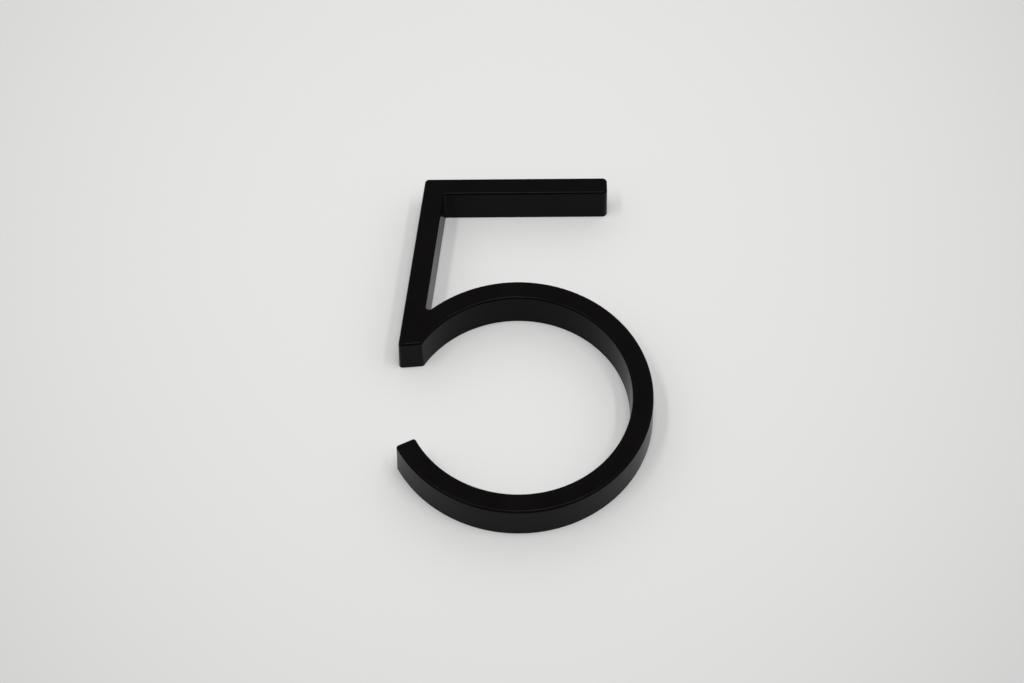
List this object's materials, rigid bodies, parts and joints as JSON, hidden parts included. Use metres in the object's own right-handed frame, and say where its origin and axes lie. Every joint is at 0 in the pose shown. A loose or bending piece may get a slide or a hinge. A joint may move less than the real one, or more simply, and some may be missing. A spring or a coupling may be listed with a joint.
{
  "type": "house number",
  "caption": "House number, the figure 5, cast as one drafted stroke with rounded face edges, satin black, with two tapped holes in its back for hidden studs.",
  "frame": {"origin": "midway between the two stud holes, on the plane of the back", "axes": "+X towards the right of the figure as it is read, +Y up the figure, +Z out of its face, away from the wall"},
  "size_m": [0.081, 0.127, 0.013],
  "materials": {
    "satin_black_coat": "satin black coating on cast zinc, with a fine even orange peel; bare zinc in the tapped holes"
  },
  "bodies": {
    "root": {"house_number": "satin_black_coat"}
  },
  "joints": []
}
